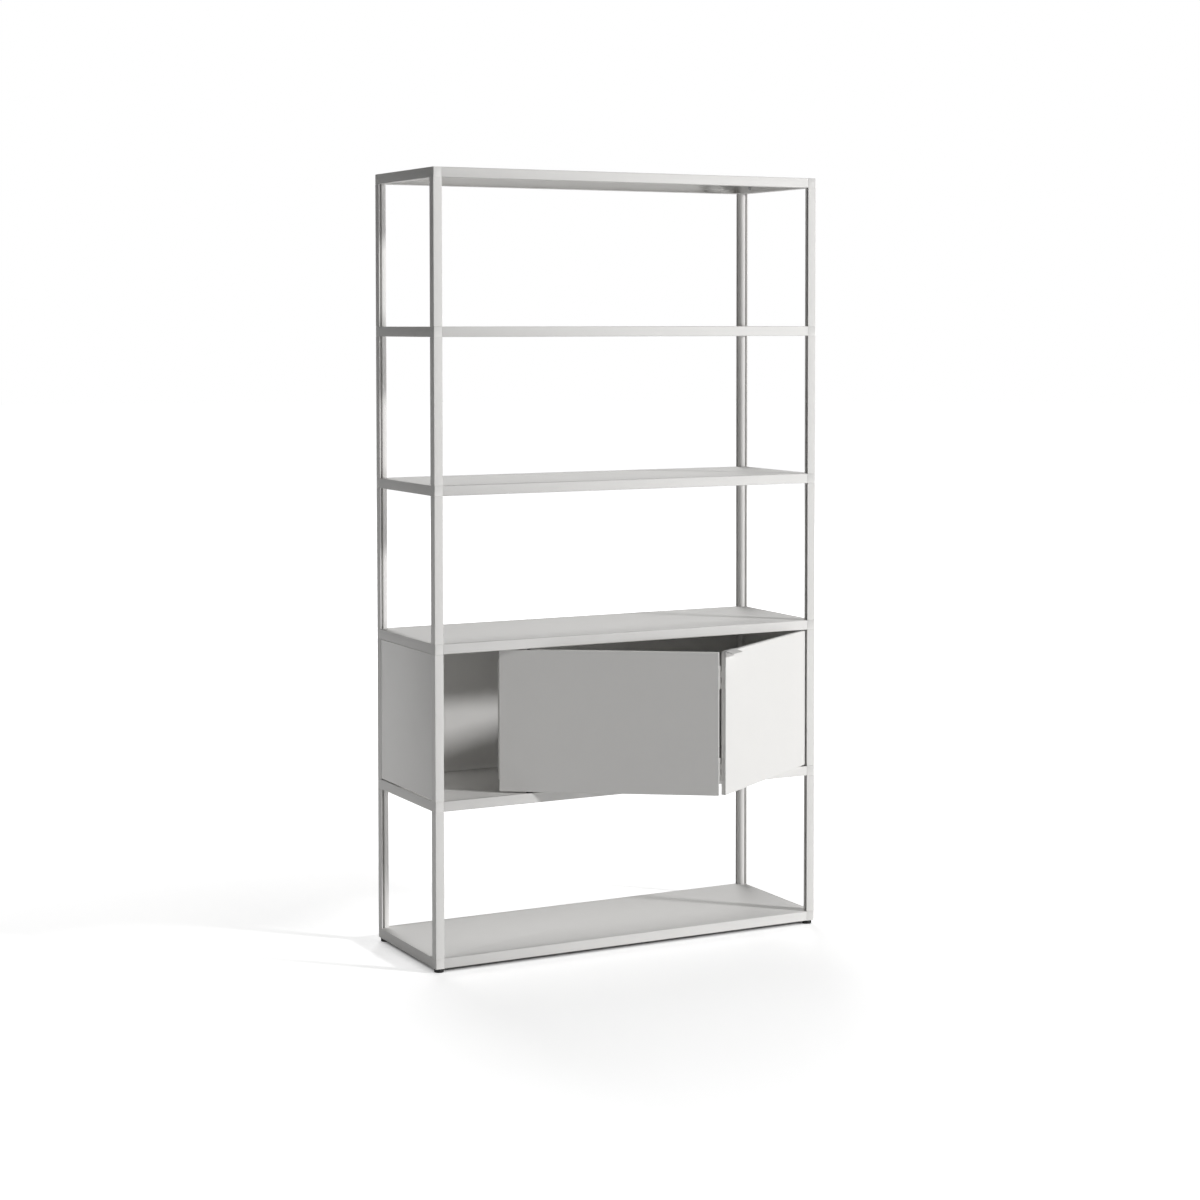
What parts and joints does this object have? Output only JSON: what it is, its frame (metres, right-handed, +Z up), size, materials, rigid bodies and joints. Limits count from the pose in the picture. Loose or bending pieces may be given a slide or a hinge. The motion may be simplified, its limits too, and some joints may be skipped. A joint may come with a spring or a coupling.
{
  "type": "shelving unit",
  "caption": "Tall open shelving unit of folded metal trays on grooved posts, with one bay closed by side and back panels and a two-leaf folding door, on levelling feet.",
  "frame": {"origin": "on the floor, at the centre of the four levelling feet", "axes": "+X to the right seen from the front, +Y to the back, +Z up"},
  "size_m": [1, 0.5941, 1.807],
  "materials": {
    "coated_sheet": "light grey fine-texture powder coat on folded steel sheet",
    "coated_panel": "light grey satin powder coat on panel sheet",
    "coated_profile": "light grey powder coat on extruded profile",
    "foot_plastic": "black moulded plastic",
    "black_nylon": "black nylon",
    "bright_steel": "zinc-plated steel",
    "hinge_steel": "grey coated steel"
  },
  "bodies": {
    "frame": {"shelf_tray_1": "coated_sheet", "shelf_tray_2": "coated_sheet", "shelf_tray_3": "coated_sheet", "shelf_tray_4": "coated_sheet", "shelf_tray_5": "coated_sheet", "shelf_tray_6": "coated_sheet", "side_rail_left_1": "coated_profile", "side_rail_right_1": "coated_profile", "side_rail_left_2": "coated_profile", "side_rail_right_2": "coated_profile", "side_rail_left_3": "coated_profile", "side_rail_right_3": "coated_profile", "side_rail_left_4": "coated_profile", "side_rail_right_4": "coated_profile", "side_rail_left_5": "coated_profile", "side_rail_right_5": "coated_profile", "side_rail_left_6": "coated_profile", "side_rail_right_6": "coated_profile", "post_front_left_1": "coated_profile", "post_front_right_1": "coated_profile", "post_back_left_1": "coated_profile", "post_back_right_1": "coated_profile", "post_front_left_2": "coated_profile", "post_front_right_2": "coated_profile", "post_back_left_2": "coated_profile", "post_back_right_2": "coated_profile", "post_front_left_3": "coated_profile", "post_front_right_3": "coated_profile", "post_back_left_3": "coated_profile", "post_back_right_3": "coated_profile", "post_front_left_4": "coated_profile", "post_front_right_4": "coated_profile", "post_back_left_4": "coated_profile", "post_back_right_4": "coated_profile", "post_front_left_5": "coated_profile", "post_front_right_5": "coated_profile", "post_back_left_5": "coated_profile", "post_back_right_5": "coated_profile", "post_spigots": "bright_steel", "tray_screws": "bright_steel", "foot_inserts": "bright_steel", "side_panel_left": "coated_panel", "side_panel_right": "coated_panel", "back_panel": "coated_panel", "pivot_bushes": "black_nylon", "door_track": "black_nylon"},
    "right_leaf": {"door_leaf_right": "coated_sheet", "door_pivot_pins": "bright_steel", "fold_hinge_right": "hinge_steel", "fold_hinge_pins": "bright_steel", "pull_tab": "coated_sheet"},
    "left_leaf": {"door_leaf_left": "coated_sheet", "door_guides": "black_nylon", "fold_hinge_left": "hinge_steel"},
    "front_left_foot": {"foot_front_left": "foot_plastic"},
    "front_right_foot": {"foot_front_right": "foot_plastic"},
    "back_left_foot": {"foot_back_left": "foot_plastic"},
    "back_right_foot": {"foot_back_right": "foot_plastic"}
  },
  "joints": [
    {"name": "right_leaf_hinge", "type": "hinge", "parent": "frame", "child": "right_leaf", "pos_m": [0.467, -0.161, 0.553], "axis": [0, 0, 1], "range_deg": [-34, 48]},
    {"name": "fold_hinge", "type": "hinge", "parent": "right_leaf", "child": "left_leaf", "pos_m": [0.10218, -0.39983, 0.553], "axis": [0, 0, 1], "range_deg": [-96, 68]},
    {"name": "front_left_foot_turn", "type": "hinge", "parent": "frame", "child": "front_left_foot", "pos_m": [-0.4875, -0.1575, 0.009], "axis": [0, 0, 1], "continuous": true},
    {"name": "front_right_foot_turn", "type": "hinge", "parent": "frame", "child": "front_right_foot", "pos_m": [0.4875, -0.1575, 0.009], "axis": [0, 0, 1], "continuous": true},
    {"name": "back_left_foot_turn", "type": "hinge", "parent": "frame", "child": "back_left_foot", "pos_m": [-0.4875, 0.1575, 0.009], "axis": [0, 0, 1], "continuous": true},
    {"name": "back_right_foot_turn", "type": "hinge", "parent": "frame", "child": "back_right_foot", "pos_m": [0.4875, 0.1575, 0.009], "axis": [0, 0, 1], "continuous": true}
  ],
  "couplings": [
    {"joint": "fold_hinge", "follows": "right_leaf_hinge", "ratio": -2}
  ]
}
